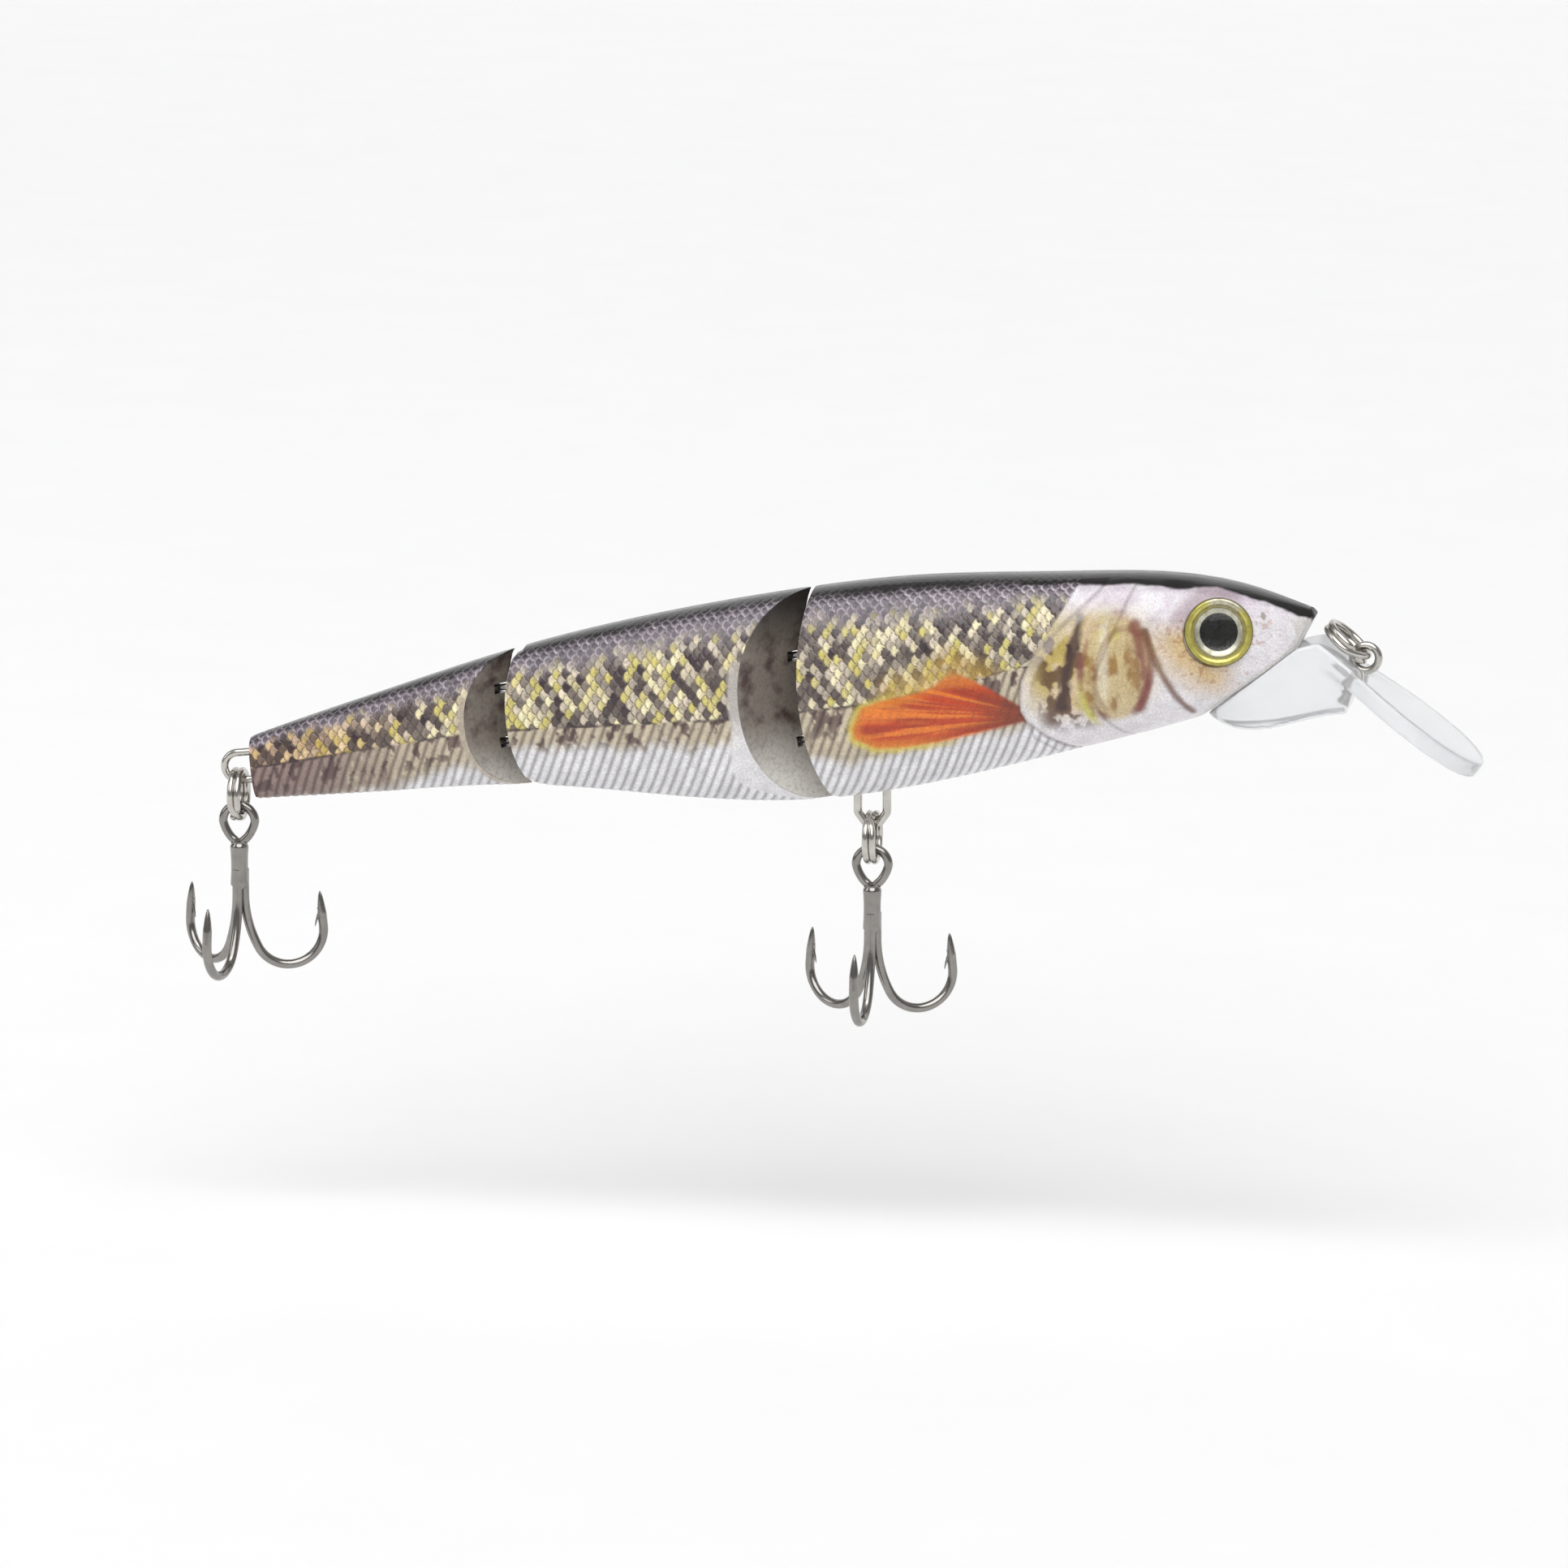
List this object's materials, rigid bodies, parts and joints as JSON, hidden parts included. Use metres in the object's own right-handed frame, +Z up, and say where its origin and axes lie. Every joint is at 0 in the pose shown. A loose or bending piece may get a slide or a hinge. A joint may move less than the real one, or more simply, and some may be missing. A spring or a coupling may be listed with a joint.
{
  "type": "swimbait",
  "caption": "Hinged hard-plastic minnow lure with a printed fish-scale finish, clear diving lip, domed eyes, split rings and treble hooks hanging from the belly and tail.",
  "frame": {"origin": "centre of the line-tie eye, where the fishing line's ring passes through it", "axes": "+X towards the lure's nose, +Y towards its left side, +Z up; the body lies 6 degrees nose-up and the hooks hang along -Z"},
  "size_m": [0.1363, 0.0159, 0.0473],
  "materials": {
    "painted_head": "photo-finish foil under clear gloss lacquer",
    "painted_body": "photo-finish foil under clear gloss lacquer",
    "clear_lip": "clear polycarbonate, polished",
    "eye_paint": "gold-green foil with a black pupil",
    "eye_lens": "clear domed lens",
    "nickel_wire": "bright nickel wire",
    "hook_steel": "black nickel, polished",
    "pin_steel": "drawn stainless wire",
    "ballast_steel": "plain steel"
  },
  "bodies": {
    "head": {"head_shell_left": "painted_head", "head_shell_right": "painted_head", "diving_lip": "clear_lip", "eye_disc_left": "eye_paint", "eye_disc_right": "eye_paint", "eye_dome_left": "eye_lens", "eye_dome_right": "eye_lens", "line_tie_eye": "nickel_wire", "belly_hanger": "nickel_wire", "head_ballast": "ballast_steel", "joint1_upper_eyelet": "pin_steel", "joint1_lower_eyelet": "pin_steel"},
    "mid": {"mid_shell_left": "painted_body", "mid_shell_right": "painted_body", "joint1_pin": "pin_steel", "mid_ballast": "ballast_steel", "joint2_upper_eyelet": "pin_steel", "joint2_lower_eyelet": "pin_steel"},
    "tail": {"tail_shell_left": "painted_body", "tail_shell_right": "painted_body", "joint2_pin": "pin_steel", "tail_hanger": "nickel_wire"},
    "line_ring": {"line_tie_split_ring": "nickel_wire"},
    "belly_ring": {"belly_split_ring": "nickel_wire"},
    "belly_treble": {"belly_hook_pair": "hook_steel", "belly_hook_single": "hook_steel"},
    "tail_ring": {"tail_split_ring": "nickel_wire"},
    "tail_treble": {"tail_hook_pair": "hook_steel", "tail_hook_single": "hook_steel"},
    "head_ball": {"head_rattle_ball": "ballast_steel"},
    "mid_ball": {"mid_rattle_ball": "ballast_steel"}
  },
  "joints": [
    {"name": "front_body_hinge", "type": "hinge", "parent": "head", "child": "mid", "pos_m": [-0.05937, 0, -0.00624], "axis": [-0.1045, 0, 0.9945], "range_deg": [-35, 35]},
    {"name": "rear_body_hinge", "type": "hinge", "parent": "mid", "child": "tail", "pos_m": [-0.09, 0, -0.00946], "axis": [-0.1045, 0, 0.9945], "range_deg": [-35, 35]},
    {"name": "line_ring_swing", "type": "hinge", "parent": "head", "child": "line_ring", "pos_m": [0, 0, 0], "axis": [0, 1, 0], "range_deg": [0, 150]},
    {"name": "belly_ring_swing", "type": "hinge", "parent": "head", "child": "belly_ring", "pos_m": [-0.0505, 0, -0.0187], "axis": [1, 0, 0], "range_deg": [-50, 50]},
    {"name": "belly_treble_swing", "type": "hinge", "parent": "belly_ring", "child": "belly_treble", "pos_m": [-0.0505, 0, -0.02267], "axis": [0, 1, 0], "range_deg": [-50, 50]},
    {"name": "tail_ring_swing", "type": "hinge", "parent": "tail", "child": "tail_ring", "pos_m": [-0.11697, 0, -0.01651], "axis": [1, 0, 0], "range_deg": [-60, 60]},
    {"name": "tail_treble_swing", "type": "hinge", "parent": "tail_ring", "child": "tail_treble", "pos_m": [-0.11697, 0, -0.02041], "axis": [0, 1, 0], "range_deg": [-35, 50]},
    {"name": "head_rattle_slide", "type": "slide", "parent": "head", "child": "head_ball", "axis": [0.9641, 0, 0.2656], "range_m": [0, 0.0048]},
    {"name": "mid_rattle_slide", "type": "slide", "parent": "mid", "child": "mid_ball", "axis": [0.9945, 0, 0.1045], "range_m": [0, 0.0034]}
  ]
}
